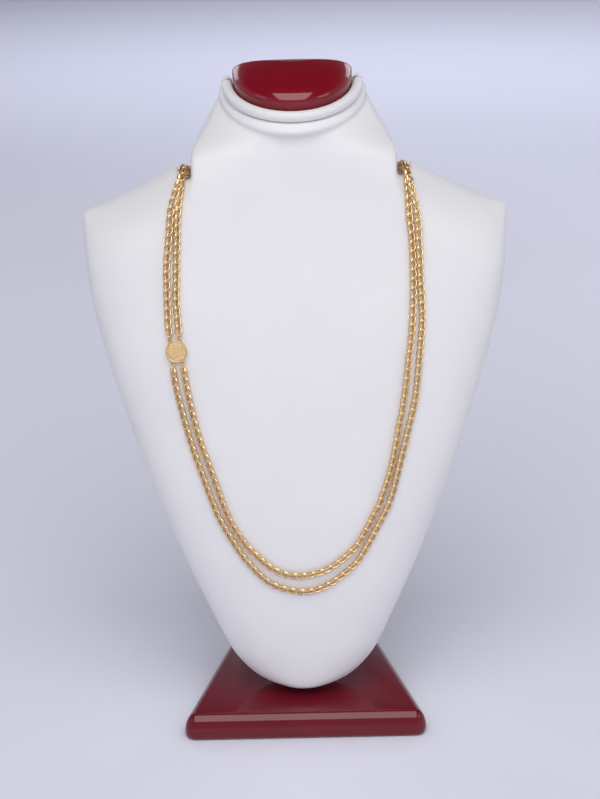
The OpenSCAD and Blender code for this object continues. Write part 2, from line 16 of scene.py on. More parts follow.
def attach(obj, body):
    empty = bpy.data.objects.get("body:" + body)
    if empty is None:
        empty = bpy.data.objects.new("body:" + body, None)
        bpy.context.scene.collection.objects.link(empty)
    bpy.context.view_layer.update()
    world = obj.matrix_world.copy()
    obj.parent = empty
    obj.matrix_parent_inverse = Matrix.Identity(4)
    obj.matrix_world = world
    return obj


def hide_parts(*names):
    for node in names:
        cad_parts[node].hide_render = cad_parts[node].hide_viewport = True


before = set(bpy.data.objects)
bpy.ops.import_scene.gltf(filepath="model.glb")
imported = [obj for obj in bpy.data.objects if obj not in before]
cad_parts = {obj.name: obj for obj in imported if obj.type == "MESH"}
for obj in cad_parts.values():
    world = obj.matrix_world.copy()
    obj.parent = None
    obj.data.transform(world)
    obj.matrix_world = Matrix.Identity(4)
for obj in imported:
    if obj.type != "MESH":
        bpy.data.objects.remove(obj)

MM, PER_M = 0.001, 1000.0

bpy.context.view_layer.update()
print("parts:", ", ".join(sorted(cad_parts)))

# %% [markdown]
# ## The camera
#
# A product photograph of a bust is taken from a little above, so that the chest, the cap and the
# top of the foot all show. A camera can be turned by three angles, but it is placed here by its
# three directions, because they can be written down from its pitch and its slight roll.

# %% Camera
PITCH, ROLL = np.radians(18.5), np.radians(1.2)
CAMERA_AT = np.array([0.67, -901.2, 498.4])
LENS_MM, SENSOR_MM, VIEW_END_M = 72.09, 36.0, 50.0


def new_object(name, data):
    """An object of the given data, at the origin of the scene."""
    thing = bpy.data.objects.new(name, data)
    bpy.context.scene.collection.objects.link(thing)
    return thing


def place_by_axes(thing, x_axis, y_axis, z_axis, at):
    """Places a camera or lamp. Its matrix holds its three axes and its place, side by side."""
    matrix = np.eye(4)
    matrix[:3] = np.stack([x_axis, y_axis, z_axis, at], 1)
    thing.matrix_world = Matrix(matrix.tolist())


level_up = np.array([0, np.sin(PITCH), np.cos(PITCH)])
level_right = np.array([1.0, 0, 0])
forward = np.array([0, np.cos(PITCH), -np.sin(PITCH)])
right = level_right * np.cos(ROLL) - level_up * np.sin(ROLL)
up = level_up * np.cos(ROLL) + level_right * np.sin(ROLL)

camera_data = bpy.data.cameras.new("studio_camera")
camera_data.lens, camera_data.sensor_width = LENS_MM, SENSOR_MM
camera_data.clip_end = VIEW_END_M
camera = new_object("studio_camera", camera_data)
place_by_axes(camera, right, up, -forward, CAMERA_AT * MM)
bpy.context.scene.camera = camera
print("camera", round(float(np.linalg.norm(CAMERA_AT)), 1), "mm from the middle of the underside")

# %% [markdown]
# ## Small helpers
#
# Colours are written as sRGB hex values, but a shader works in linear light, so one function turns
# them. Another adds a node with its settings and its links, and a third starts a material.

# %% Colour and node helpers
SRGB_KNEE, SRGB_SLOPE, SRGB_SHIFT, SRGB_POWER = 0.04045, 12.92, 0.055, 2.4


def linear(hex_colour):
    """sRGB hex to linear RGBA: a straight part near black, a power of 2.4 above it."""
    srgb = np.array([int(hex_colour[i:i + 2], 16) for i in (1, 3, 5)]) / 255
    low = srgb / SRGB_SLOPE
    high = ((srgb + SRGB_SHIFT) / (1 + SRGB_SHIFT)) ** SRGB_POWER
    return [*np.where(srgb <= SRGB_KNEE, low, high).tolist(), 1.0]


def add_node(tree, kind, settings=(), links=()):
    """Adds a node, sets its attributes or input values by name, and links sockets into it."""
    node = tree.nodes.new(kind)
    for name, value in dict(settings).items():
        if hasattr(node, name):
            setattr(node, name, value)
        else:
            node.inputs[name].default_value = value
    for name, socket in dict(links).items():
        tree.links.new(socket, node.inputs[name])
    return node


def new_material(name, settings):
    """A material with one Principled shader, whose sockets take the given values."""
    material = bpy.data.materials.new(name)
    material.use_nodes = True
    shader = material.node_tree.nodes["Principled BSDF"]
    for socket, value in settings.items():
        shader.inputs[socket].default_value = value
    return material, material.node_tree, shader


print("burgundy in linear light:", [round(v, 3) for v in linear("#780A1A")[:3]])

# %% [markdown]
# ## Surfaces as grids
#
# A surface is a grid of points, rows by columns. Neighbouring points make a quad. Where a row
# shrinks to one point it is a pole, and where two grids share an edge it is a seam. Merging points
# that lie in the same place closes both.

# %% Grid helpers
def grid_quads(rows, columns, wrap=False):
    """Quads of a grid: point (r, c) with its right, upper right and upper neighbours. With wrap,
    the column after the last is the first."""
    r = np.arange(rows - 1)[:, None]
    c = np.arange(columns if wrap else columns - 1)[None, :]
    beside = (c + 1) % columns
    corners = [r * columns + c, r * columns + beside,
               (r + 1) * columns + beside, (r + 1) * columns + c]
    return np.stack(corners, -1).reshape(-1, 4)


def mix(a, b, t):
    """A value t of the way from a to b."""
    return a + (b - a) * t


def unit(vectors):
    """Vectors of length one in the same directions."""
    return vectors / np.linalg.norm(vectors, axis=-1, keepdims=True)


def square_to(vectors, along):
    """Unit vectors square to the given directions: what is left of each when its share along
    them is taken off."""
    return unit(vectors - np.sum(vectors * along, -1, keepdims=True) * along)


def smooth_table(at, keys, values):
    """Value of a table at each place: between two rows a cubic, whose slope at each row is the
    mean slope of the table there."""
    keys, values = np.asarray(keys, float), np.asarray(values, float)
    slopes = np.gradient(values, keys)
    i = np.clip(np.searchsorted(keys, at, side="right") - 1, 0, len(keys) - 2)
    gap = keys[i + 1] - keys[i]
    t = np.clip((at - keys[i]) / gap, 0, 1)
    ends = (2 * t**3 - 3 * t**2 + 1) * values[i] + (3 * t**2 - 2 * t**3) * values[i + 1]
    leans = (t**3 - 2 * t**2 + t) * slopes[i] + (t**3 - t**2) * slopes[i + 1]
    return ends + gap * leans


print("a grid of 3 by 4 points has", len(grid_quads(3, 4)), "quads")

# %% Piece helpers
WELD_M = 1e-6


def piece_from(name, points, faces, material, node_name):
    """A piece from points in metres and faces: welded, its faces turned outwards, smooth. It rides
    on the only body and stands for the named CAD node."""
    mesh = bpy.data.meshes.new(name)
    mesh.from_pydata(points.tolist(), [], faces.tolist())
    shell = bmesh.new()
    shell.from_mesh(mesh)
    bmesh.ops.remove_doubles(shell, verts=shell.verts, dist=WELD_M)
    bmesh.ops.recalc_face_normals(shell, faces=shell.faces)
    open_edges = sum(1 for edge in shell.edges if len(edge.link_faces) != 2)
    shell.to_mesh(mesh)
    shell.free()
    mesh.shade_smooth()
    mesh.materials.append(material)
    piece = new_object(name, mesh)
    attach(piece, "root")
    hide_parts(node_name)
    print(f"{name}: {len(mesh.vertices)} points, {len(mesh.polygons)} faces, "
          f"{open_edges} open edges")
    return piece


def new_piece(name, grids, material, node_name):
    """A piece from grids of points in metres, given as (points, wrap), one after another."""
    points, faces, start = [], [], 0
    for grid, wrap in grids:
        rows, columns = grid.shape[:2]
        points.append(grid.reshape(-1, 3))
        faces.append(grid_quads(rows, columns, wrap) + start)
        start += rows * columns
    return piece_from(name, np.concatenate(points), np.concatenate(faces), material,
                      node_name)


print("points closer than", WELD_M * PER_M, "mm are merged")

# %% [markdown]
# ## White leatherette
#
# Display busts are wrapped in leatherette: a polyurethane skin, embossed with a leather grain and
# backed with cloth. It gives the eye a soft, wide highlight and an almost even white. The grain
# could be modelled, but it is so shallow that a bump will do. Its cells are about 0.9 mm across,
# little more than a pixel here, so they only take the hardness off the highlight. Slow changes of
# tone stand for handling and for the form underneath.

# %% Leatherette
GRAIN_MM, GRAIN_DEPTH_MM = 0.9, 0.08
TONE_MM = 45.0

leatherette, tree, shader = new_material("embossed_pu_leatherette", {
    "Roughness": 0.52, "IOR": 1.48, "Sheen Weight": 0.08, "Sheen Roughness": 0.5})
place = add_node(tree, "ShaderNodeTexCoord")
tone = add_node(tree, "ShaderNodeTexNoise", {"Scale": PER_M / TONE_MM, "Detail": 2.0},
                {"Vector": place.outputs["Object"]})
tint = add_node(tree, "ShaderNodeValToRGB", {}, {"Fac": tone.outputs["Fac"]})
tint.color_ramp.elements[0].color = linear("#EAE8EA")
tint.color_ramp.elements[1].color = linear("#F1F0EF")
tree.links.new(tint.outputs["Color"], shader.inputs["Base Color"])
cells = add_node(tree, "ShaderNodeTexVoronoi",
                 {"feature": "DISTANCE_TO_EDGE", "Scale": PER_M / GRAIN_MM},
                 {"Vector": place.outputs["Object"]})
creases = add_node(tree, "ShaderNodeMapRange",
                   {"From Min": 0.0, "From Max": 0.25, "To Min": 0.0, "To Max": 1.0},
                   {"Value": cells.outputs["Distance"]})
grain = add_node(tree, "ShaderNodeBump", {"Strength": 0.12, "Distance": GRAIN_DEPTH_MM * MM},
                 {"Height": creases.outputs["Result"]})
tree.links.new(grain.outputs["Normal"], shader.inputs["Normal"])
print("leatherette grain", GRAIN_MM, "mm")

# %% [markdown]
# ## Burgundy lacquer
#
# The cap, the post and the foot are shaped wood under several coats of sprayed and polished
# lacquer. The colour lies in the lower coats and the gloss in a clear top coat. A glossy red alone
# could show it, but the shader gets a real coat over a deep red, whose own index is low, because
# paint under a coat mirrors hardly anything by itself. Sprayed lacquer keeps a faint orange peel,
# about 3 mm from swell to swell. The foot and the post get a darker copy of the same lacquer. That
# is painted shade, so that they look less lit than the cap.

# %% Lacquer
PEEL_MM, PEEL_DEPTH_MM = 3.0, 0.04
CLOUD_MM = 30.0


def lacquered(name, dark, light, coat_index):
    """Burgundy lacquer between two tones, under a clear polished coat of the given index."""
    material, tree, shader = new_material(name, {
        "Roughness": 0.3, "IOR": 1.15,
        "Coat Weight": 0.9, "Coat Roughness": 0.04, "Coat IOR": coat_index})
    place = add_node(tree, "ShaderNodeTexCoord")
    cloud = add_node(tree, "ShaderNodeTexNoise", {"Scale": PER_M / CLOUD_MM, "Detail": 3.0},
                     {"Vector": place.outputs["Object"]})
    tint = add_node(tree, "ShaderNodeValToRGB", {}, {"Fac": cloud.outputs["Fac"]})
    tint.color_ramp.elements[0].color = linear(dark)
    tint.color_ramp.elements[1].color = linear(light)
    tree.links.new(tint.outputs["Color"], shader.inputs["Base Color"])
    peel = add_node(tree, "ShaderNodeTexNoise", {"Scale": PER_M / PEEL_MM, "Detail": 1.0},
                    {"Vector": place.outputs["Object"]})
    swell = add_node(tree, "ShaderNodeBump", {"Strength": 0.25, "Distance": PEEL_DEPTH_MM * MM},
                     {"Height": peel.outputs["Fac"]})
    for socket in ("Normal", "Coat Normal"):
        tree.links.new(swell.outputs["Normal"], shader.inputs[socket])
    return material


lacquer = lacquered("polished_burgundy_lacquer", "#780A1A", "#880E22", 1.53)
# The same lacquer with darker tones for the foot and the post: painted shade, not another finish
shaded_lacquer = lacquered("burgundy_lacquer_painted_shade", "#640819", "#720B20", 1.46)
print("lacquer orange peel", PEEL_MM, "mm")

# %% [markdown]
# ## Gold plating
#
# The chain is brass with a thin plating of yellow gold, tumbled to a soft polish. A yellow paint
# would look dull, because a metal shows what it mirrors, tinted, so the shader is fully metallic.
# Tumbling leaves tiny dents. They are drawn coarser than they are, at 0.6 mm, so that they can
# break up the highlights, and they change the tint and the polish a little.

# %% Gold
DENT_MM, DENT_DEPTH_MM = 0.6, 0.05

gold, tree, shader = new_material("tumbled_gold_plating", {"Metallic": 1.0})
place = add_node(tree, "ShaderNodeTexCoord")
dents = add_node(tree, "ShaderNodeTexNoise", {"Scale": PER_M / DENT_MM, "Detail": 2.0},
                 {"Vector": place.outputs["Object"]})
tint = add_node(tree, "ShaderNodeValToRGB", {}, {"Fac": dents.outputs["Fac"]})
tint.color_ramp.elements[0].color = linear("#EEC487")
tint.color_ramp.elements[1].color = linear("#FADFB0")
tree.links.new(tint.outputs["Color"], shader.inputs["Base Color"])
soft = add_node(tree, "ShaderNodeMapRange", {"To Min": 0.16, "To Max": 0.32},
                {"Value": dents.outputs["Fac"]})
tree.links.new(soft.outputs["Result"], shader.inputs["Roughness"])
dented = add_node(tree, "ShaderNodeBump", {"Strength": 0.2, "Distance": DENT_DEPTH_MM * MM},
                  {"Height": dents.outputs["Fac"]})
tree.links.new(dented.outputs["Normal"], shader.inputs["Normal"])
print("dents drawn", DENT_MM, "mm apart")

# %% [markdown]
# ## Cast gold
#
# The disc has the same plating over a cast and granulated face. Its surface is rough from the mould
# and isn't polished, so it looks matt beside the bright links. The same shader shows this with an
# even, higher roughness and a finer, deeper bump.

# %% Matt gold
MOULD_MM, MOULD_DEPTH_MM = 0.35, 0.08

matt_gold, tree, shader = new_material("granulated_cast_gold", {"Metallic": 1.0, "Roughness": 0.44})
place = add_node(tree, "ShaderNodeTexCoord")
sand = add_node(tree, "ShaderNodeTexNoise", {"Scale": PER_M / MOULD_MM, "Detail": 2.0},
                {"Vector": place.outputs["Object"]})
tint = add_node(tree, "ShaderNodeValToRGB", {}, {"Fac": sand.outputs["Fac"]})
tint.color_ramp.elements[0].color = linear("#D9AE70")
tint.color_ramp.elements[1].color = linear("#FBE2B2")
tree.links.new(tint.outputs["Color"], shader.inputs["Base Color"])
pitted = add_node(tree, "ShaderNodeBump", {"Strength": 0.6, "Distance": MOULD_DEPTH_MM * MM},
                  {"Height": sand.outputs["Fac"]})
tree.links.new(pitted.outputs["Normal"], shader.inputs["Normal"])
print("mould grain", MOULD_MM, "mm")

# %% [markdown]
# ## The bust's form
#
# The bust is a flat-backed form that leans back on its post. It could be sculpted, but the chain
# has to lie on it exactly, so it is a formula that the chain can use as well. Seen from the front
# it is a table of half widths, seen from the side a table of depths. Between the middle and the
# arms the depth falls off as a rounded rectangle's, and near the shoulders it rolls back to a thin
# ridge.

# %% The leaning frame
LEAN = np.radians(7.5)
BUST_ORIGIN = np.array([0, -6.0, 20.0])


def leaned(points):
    """Points in the bust's own frame, in mm (x across, y towards the back, z up), turned about X
    by the lean, moved to the origin of that frame, and given in metres."""
    x, y, z = np.moveaxis(np.asarray(points, float), -1, 0)
    turned = [x, y * np.cos(LEAN) + z * np.sin(LEAN), z * np.cos(LEAN) - y * np.sin(LEAN)]
    return (np.stack(turned, -1) + BUST_ORIGIN) * MM


print("400 mm up the bust is", np.round(leaned([0, 0, 400]), 3), "in metres")

# %% Form of the front
# Columns in mm: height, half width, depth in front of the back at the middle
BUST_ROWS = np.array([
    [-2.3, 8, 28], [-1, 15, 28.5], [1.5, 23.6, 29], [5, 29.5, 30], [11, 35.8, 31.5],
    [20, 43, 34], [30, 48, 36.5], [40, 52.5, 39], [50, 56.8, 41], [62, 62, 43.5],
    [76, 68, 46], [95, 75.4, 48.5], [114, 82.5, 50.5], [132, 89.2, 52], [169, 101, 53.6],
    [205, 111.7, 53.8], [223, 116.2, 53], [240, 119.4, 51.8], [255, 121.4, 50.2],
    [270, 122.7, 48.8], [290, 123.8, 47], [320, 123.8, 46]])
# The shoulder line: the arm's side, where the line starts and its height there, then the peak
# beside the neck and its rise, and the powers of the two curves
ARM_X, LINE_X, ARM_Z = 123.8, 124.0, 290.0
PEAK_X, PEAK_RISE, PEAK_POWER = 69.3, 24.8, 1.25
NECK_SWELL, NECK_POWER = 0.9, 1.2
# The section across: its power at two heights, its fall to the sides, and the share of the middle
# depth that stands there
SECTION_Z, SECTION_POWER = [0, 120], [2.6, 6]
SIDE_FALL, WALL = 0.1, 0.45
# The ridge of the shoulder and the height of the roll below it, and the roll at the tip
RIDGE, ROLL_H = 3.0, 40.0
TIP_Z, TIP_ROLL = -3.3, 3.0


def quarter(t):
    """A quarter circle: 0 at 0 with an upright start, 1 at 1 with a level end."""
    return np.sqrt(1 - (1 - np.clip(t, 0, 1)) ** 2)


def half_width(z):
    """Half width at a height: the table's, and no more than the arm's side."""
    return np.minimum(smooth_table(z, BUST_ROWS[:, 0], BUST_ROWS[:, 1]), ARM_X)


def shoulder_z(x):
    """Height of the shoulder line: a power curve up from the arm, and a second one under the
    neck, where the shoulder's roll dies out."""
    from_arm = np.maximum(LINE_X - np.abs(x), 0) / (LINE_X - PEAK_X)
    under_neck = np.maximum(PEAK_X - np.abs(x), 0)
    return ARM_Z + PEAK_RISE * from_arm**PEAK_POWER + NECK_SWELL * under_neck**NECK_POWER


def depth(x, z):
    """Depth of the front: the middle depth, times a rounded rectangle across, rounded at the tip,
    and rolled to the ridge over the last 40 mm under the shoulder line."""
    share = np.clip(np.abs(x) / half_width(z), 0, 1)
    power = np.interp(z, SECTION_Z, SECTION_POWER)
    crown = (1 - SIDE_FALL * share**2) * np.sqrt(np.maximum(1 - share**power, 0))
    middle = smooth_table(z, BUST_ROWS[:, 0], BUST_ROWS[:, 2])
    body = middle * (WALL + (1 - WALL) * crown * quarter((z - TIP_Z) / TIP_ROLL))
    return RIDGE + (body - RIDGE) * quarter((shoulder_z(x) - z) / ROLL_H)


print("depth at the middle of the chest:", round(float(depth(0.0, 200.0)), 1), "mm")

# %% [markdown]
# ## The bust's skin
#
# The skin is one closed sheet: chest, neck, side walls and back. It could be a fine grid, but a
# wrapped form has soft edges everywhere, so a coarse grid is drawn on the form and smoothed by
# subdivision, which rounds each edge by about half a cell. The columns lie closer where the notch
# cuts in beside the neck, and the upper rows bend up to the shoulder line.

# %% Chest grid
NECK_X, NECK_SIDE = 58.4, 11
NOTCH_Z, NOTCH_END = 308.0, 66.5
# Shares of the neck's half width, then the columns from there to the arm
NECK_COLS = [0, 0.16, 0.32, 0.48, 0.63, 0.76, 0.87, 0.95, 1]
ARM_COLS = [62.2, 66, 68.7, 69.3, 70.1, 73, 76, 83, 91, 99, 106, 112, 116.5, 120, 122.4, 123.8]
# Level rows up to SPLIT_Z, then the share of the way from there to the top at which each bent row
# lies, at the neck and at the arm, with the x where one starts to give way and how far that takes
SPLIT_Z = 240.0
LEVELS = [-2.3, -1, 1.5, 5, 9, 14, 20, 27, 35, 44, 54, 65, 77, 90, 104, 119, 135, 152, 170,
          188, 206, 223, 240]
NECK_RISE = np.array([0.13, 0.26, 0.39, 0.51, 0.62, 0.72, 0.81, 0.89, 0.955, 1])
ARM_RISE = np.array([0.15, 0.3, 0.45, 0.58, 0.7, 0.8, 0.88, 0.94, 0.98, 1])
RISE_FROM, RISE_OVER = 66, 12
# The arm's corner is a little lower, by a power so high that only the last columns feel it
CORNER_DROP, CORNER_POWER = 2, 80


def both_sides(half):
    """Values from the middle to the right, with their mirror image on the left."""
    return np.concatenate([-half[:0:-1], half])


side_t = np.linspace(0, 1, NECK_SIDE)
side_share = smooth_table(side_t, np.linspace(0, 1, len(NECK_COLS)), NECK_COLS)
half_cols = np.concatenate([NECK_X * side_share, ARM_COLS])
cols = both_sides(half_cols)
middle_c = len(half_cols) - 1
left_c, right_c = middle_c - NECK_SIDE + 1, middle_c + NECK_SIDE - 1

off_middle = np.abs(cols)
corner_drop = CORNER_DROP * (off_middle / ARM_X) ** CORNER_POWER
top_z = np.where(off_middle < NOTCH_END, NOTCH_Z, shoulder_z(cols) - corner_drop)
to_arm = np.clip((off_middle - RISE_FROM) / RISE_OVER, 0, 1)
rise = mix(NECK_RISE[:, None], ARM_RISE[:, None], to_arm)
level_rows = np.repeat(np.array(LEVELS)[:, None], len(cols), 1)
chest_z = np.concatenate([level_rows, mix(SPLIT_Z, top_z, rise)])
chest_x = cols / ARM_X * half_width(chest_z)
chest = np.stack([chest_x, -depth(chest_x, chest_z), chest_z], -1)
chest_back = chest * [1, 0, 1]
print("chest grid", chest.shape[:2])

# %% Neck grid
# Columns: height at the back, half width, depth, fall towards the front, turn from the chest's
# form to a half ellipse. The last rows are the bead under the cap's roll.
NECK_ROWS = np.array([
    [308, 58.4, 46, 0, 0], [313, 58.4, 46.2, 0.015, 0.025], [319, 58.5, 46.3, 0.035, 0.06],
    [325, 58.3, 46.6, 0.085, 0.11], [330, 56.6, 46.8, 0.13, 0.2], [336, 53.5, 47.2, 0.2, 0.35],
    [342, 50, 47.8, 0.28, 0.5], [347.5, 47, 48.4, 0.37, 0.66], [352, 44.5, 49, 0.44, 0.82],
    [354.8, 43, 49.7, 0.48, 0.93], [356.4, 42.6, 50.5, 0.49, 1], [358.4, 42.8, 51.8, 0.49, 1],
    [359.8, 42.2, 51.3, 0.49, 1], [361, 41.1, 50.1, 0.49, 1], [362.5, 39.8, 48.4, 0.49, 1]])

t, share = both_sides(side_t), both_sides(side_share)
height, wide, deep, fall, turn = NECK_ROWS.T[..., None]
neck_x = wide * mix(share, np.sin(np.pi / 2 * t), turn)
chest_form = depth(NECK_X * share, np.full_like(share, NOTCH_Z))
half_ellipse = RIDGE + (deep - RIDGE) * np.cos(np.pi / 2 * t)
neck_depth = mix(chest_form, half_ellipse, turn)
neck = np.stack([neck_x, -neck_depth, height - fall * neck_depth], -1)
neck_back = np.stack([neck_x, 0 * neck_x, height + 0 * neck_x], -1)
neck[0] = chest[-1, left_c:right_c + 1]
neck_back[0] = chest_back[-1, left_c:right_c + 1]
print("neck grid", neck.shape[:2])

# %% The closed skin
WALL_PARTS = np.array([0, 0.33, 0.66, 0.93, 1])[:, None, None]
SMOOTHINGS = 2


def wall(front, back):
    """Grid from an edge of the front to the same edge of the back: five rows, the last two close
    together, which keeps the back's edge firm."""
    return mix(front, back, WALL_PARTS)


bust_grids = [
    chest, chest_back, neck, neck_back,
    wall(chest[:, 0], chest_back[:, 0]), wall(chest[:, -1], chest_back[:, -1]),
    wall(chest[0], chest_back[0]),
    wall(chest[-1, :left_c + 1], chest_back[-1, :left_c + 1]),
    wall(chest[-1, right_c:], chest_back[-1, right_c:]),
    wall(neck[:, 0], neck_back[:, 0]), wall(neck[:, -1], neck_back[:, -1]),
    wall(neck[-1], neck_back[-1])]
bust = new_piece("bust_skin", [(leaned(grid), False) for grid in bust_grids],
                 leatherette, "bust")
smoothing = bust.modifiers.new("soft_edges", "SUBSURF")
smoothing.levels = smoothing.render_levels = SMOOTHINGS

# %% [markdown]
# ## The neck's top
#
# The neck is cut off by a plane that falls towards the front. The rolled edge and the cap both lie
# in it and share one outline, so the plane and the outline are written once, for both. The outline
# could be an ellipse, but the cap is flat behind.

# %% Plane and outline of the neck's top
TOP_Z, TOP_FALL = 362.5, np.arctan(0.49)
# The cap's half width, its depth in front of CAP_LINE, where its widest part is, and its height
CAP_W, CAP_D, CAP_H, CAP_LINE = 34.5, 42.5, 18.6, -6.0
FRONT_POWER = 0.95


def on_top(points):
    """Points in the plane of the neck's top (z is off the plane), turned by its fall about X and
    raised to the neck's top, in the bust's frame."""
    x, y, z = np.moveaxis(np.asarray(points, float), -1, 0)
    back = y * np.cos(TOP_FALL) - z * np.sin(TOP_FALL)
    high = y * np.sin(TOP_FALL) + z * np.cos(TOP_FALL)
    return leaned(np.stack([x, back, high + TOP_Z], -1))


def cap_outline(angle, wide, deep, back):
    """Half an oval in front, as deep as given, and a flat curve with round ends behind."""
    s = np.sin(angle)
    y = np.where(s >= 0, -deep * np.abs(s) ** FRONT_POWER, back * np.sqrt(np.abs(s)))
    return wide * np.cos(angle), y


print("the neck's top falls by", round(float(np.degrees(TOP_FALL)), 1), "degrees")

# %% [markdown]
# ## The rolled edge
#
# A narrow rolled edge of leatherette runs round the cap, open at the back. A bevelled curve could
# show it, but its section would be the same all along. Here the section is an oval that is squarer
# below, where it is pulled down onto the neck, and it thins out at both ends.

# %% Rolled edge
# Width, thickness, gap to the cap and lift off the neck
ROLL_W, ROLL_T, ROLL_GAP, ROLL_LIFT = 6.0, 5.6, 0.3, 0.1
ROLL_STEPS, ROLL_SIDES = 65, 24
# Where each end starts, behind CAP_LINE, its steps forward from there, and how full the section is
# at the first five of them
TAIL_AT, TAIL_STEPS = 3.8, np.array([0, 0.35, 0.9, 1.7, 2.7, 3.9, 5.2, 6.6])
END_STEPS, END_FULL = [0, 1, 2, 3, 4], [0, 0.11, 0.28, 0.55, 1]
SQUARE_BELOW = 0.4

angle = np.linspace(0, np.pi, ROLL_STEPS)
roll_out = ROLL_GAP + ROLL_W / 2
roll_x, roll_y = cap_outline(angle, CAP_W + roll_out, CAP_D + roll_out, 0)
tail = TAIL_AT - TAIL_STEPS
roll_x = np.concatenate([np.full(len(tail), roll_x[0]), roll_x[1:-1],
                         np.full(len(tail), roll_x[-1])])
roll_y = np.concatenate([tail, roll_y[1:-1], tail[::-1]])
along = unit(np.gradient(np.stack([roll_x, roll_y], -1), axis=0))
step = np.arange(len(roll_x))
full = quarter(np.interp(np.minimum(step, step[::-1]), END_STEPS, END_FULL))[:, None]
a = np.linspace(0, 2 * np.pi, ROLL_SIDES, endpoint=False)
power = np.where(np.sin(a) < 0, SQUARE_BELOW, 1)
across = full * ROLL_W / 2 * np.sign(np.cos(a)) * np.abs(np.cos(a)) ** power
upward = ROLL_T / 2 * (1 + full * np.sin(a))
roll_points = np.stack([roll_x[:, None] - along[:, 1, None] * across,
                        CAP_LINE + roll_y[:, None] + along[:, 0, None] * across,
                        upward + ROLL_LIFT], -1)
new_piece("rolled_edge", [(on_top(roll_points), True)], leatherette, "neck_roll")

# %% [markdown]
# ## The cap
#
# The cap is a low dome of lacquered wood with an upright wall. It could be a flattened ball, but a
# ball can't have the flat back. So each row is the cap's outline, drawn in towards a point behind
# its middle while a quarter circle rises.

# %% Cap
CAP_BACK, CAP_WALL, CAP_PULL = 4.0, 0.46, -10.0
DOME_ROWS, CAP_SIDES = 26, 96
# Width and rise of the rows below the dome: the underside, its eased edge and the wall
LOW_WIDTH = np.array([0, 0.5, 0.97, 0.995, 1, 1])[:, None]
LOW_RISE = np.array([0, 0, 0, 0.008, 0.03, 0.2])[:, None]

dome = np.pi / 2 * np.linspace(0, 1, DOME_ROWS)[:, None]
width = np.concatenate([LOW_WIDTH, np.cos(dome)])
rise = np.concatenate([LOW_RISE, mix(CAP_WALL, 1, np.sin(dome))])
angle = np.linspace(0, 2 * np.pi, CAP_SIDES, endpoint=False)
edge_x, edge_y = cap_outline(angle, CAP_W, CAP_D, CAP_BACK)
cap_points = np.stack([edge_x * width, CAP_LINE + CAP_PULL + (edge_y - CAP_PULL) * width,
                       CAP_H * rise + 0 * edge_x], -1)
new_piece("lacquered_cap", [(on_top(cap_points), True)], lacquer, "cap")

# %% [markdown]
# ## The foot
#
# The foot is a block of lacquered wood, wider in front than behind, with round corners and a side
# that bends over into the top. A bevelled box has the same round everywhere, so the block is a
# profile instead: its outline is offset inwards as the profile rises.

# %% Foot
# Width in front and behind, depth, height, and radius of the corners
BASE_W, BASE_BACK_W, BASE_D, BASE_H, CORNER = 145.6, 99.6, 110.0, 16.0, 7.0
CORNER_STEPS = 13
# Offset inwards and height, in mm
PROFILE = np.array([
    [7, 0], [3.2, 0], [1.7, 0.35], [0.75, 1.1], [0.2, 2.2], [0, 3.6], [0.05, 5.2], [0.28, 7],
    [0.7, 8.8], [1.3, 10.5], [2.05, 12], [2.9, 13.3], [3.9, 14.4], [5, 15.3], [6, 15.8],
    [7, 16]])
# Sizes of the rings that close the top, as shares of its outline
INNER = np.array([0.66, 0.33, 0])[:, None, None]

front_x, back_x = BASE_W / 2 - CORNER, BASE_BACK_W / 2 - CORNER
slant = np.arctan((front_x - back_x) / (BASE_D - 2 * CORNER))
steps = np.linspace(0, 1, CORNER_STEPS)
facings = [-np.pi / 2, slant, np.pi / 2, np.pi - slant, np.pi * 1.5]
turns = np.concatenate([mix(start, end, steps) for start, end in zip(facings, facings[1:])])
corner_x = np.repeat([front_x, back_x, -back_x, -front_x], CORNER_STEPS)
corner_y = np.repeat([-1, 1, 1, -1], CORNER_STEPS) * (BASE_D / 2 - CORNER)
radius = CORNER - PROFILE[:, 0, None]
outline = np.stack([corner_x + radius * np.cos(turns), corner_y + radius * np.sin(turns),
                    PROFILE[:, 1, None] + 0 * turns], -1)
floor_rings = outline[0] * INNER[::-1] * [1, 1, 0]
top_rings = outline[-1] * [1, 1, 0] * INNER + [0, 0, BASE_H]
foot_rings = np.concatenate([floor_rings, outline, top_rings]) * MM
new_piece("lacquered_foot", [(foot_rings, True)], shaded_lacquer, "base")

# %% [markdown]
# ## The post
#
# The post is a flat bar with eased edges behind the bust, and leans with it. A leaning box would
# stand on one edge or sink in, so the section's lowest rows are moved to where each point of them
# meets the foot's top, which cuts the end level.

# %% Post
POST_W, POST_T, POST_LEN, EASE = 19.0, 12.0, 150.0, 1.6
EASE_STEPS, ROWS_ON_FOOT = 6, 5
# Offset inwards of each row, and its height. The first five lie on the foot instead.
INSETS = np.array([EASE, EASE, 0.8, 0.25, 0, 0, 0, 0, 0.25, 0.8, EASE, EASE])[:, None]
HEIGHTS = np.array([0, 0, 0, 0, 0, 40, 90, POST_LEN - EASE, POST_LEN - 0.8, POST_LEN - 0.25,
                    POST_LEN, POST_LEN])[:, None]

turns = (np.arange(4)[:, None] * np.pi / 2 + np.linspace(0, np.pi / 2, EASE_STEPS)).ravel()
corner_x = np.repeat([1, -1, -1, 1], EASE_STEPS) * (POST_W / 2 - EASE)
corner_y = np.repeat([1, 1, -1, -1], EASE_STEPS) * (POST_T / 2 - EASE)
section_x = corner_x + (EASE - INSETS) * np.cos(turns)
section_y = POST_T / 2 + corner_y + (EASE - INSETS) * np.sin(turns)
section_x[[0, -1]], section_y[[0, -1]] = 0, POST_T / 2
foot_z = (BASE_H - BUST_ORIGIN[2] + section_y * np.sin(LEAN)) / np.cos(LEAN)
post_z = np.where(np.arange(len(INSETS))[:, None] < ROWS_ON_FOOT, foot_z, HEIGHTS)
post_points = np.stack([section_x, section_y, post_z], -1)
new_piece("lacquered_post", [(leaned(post_points), True)], shaded_lacquer, "post")

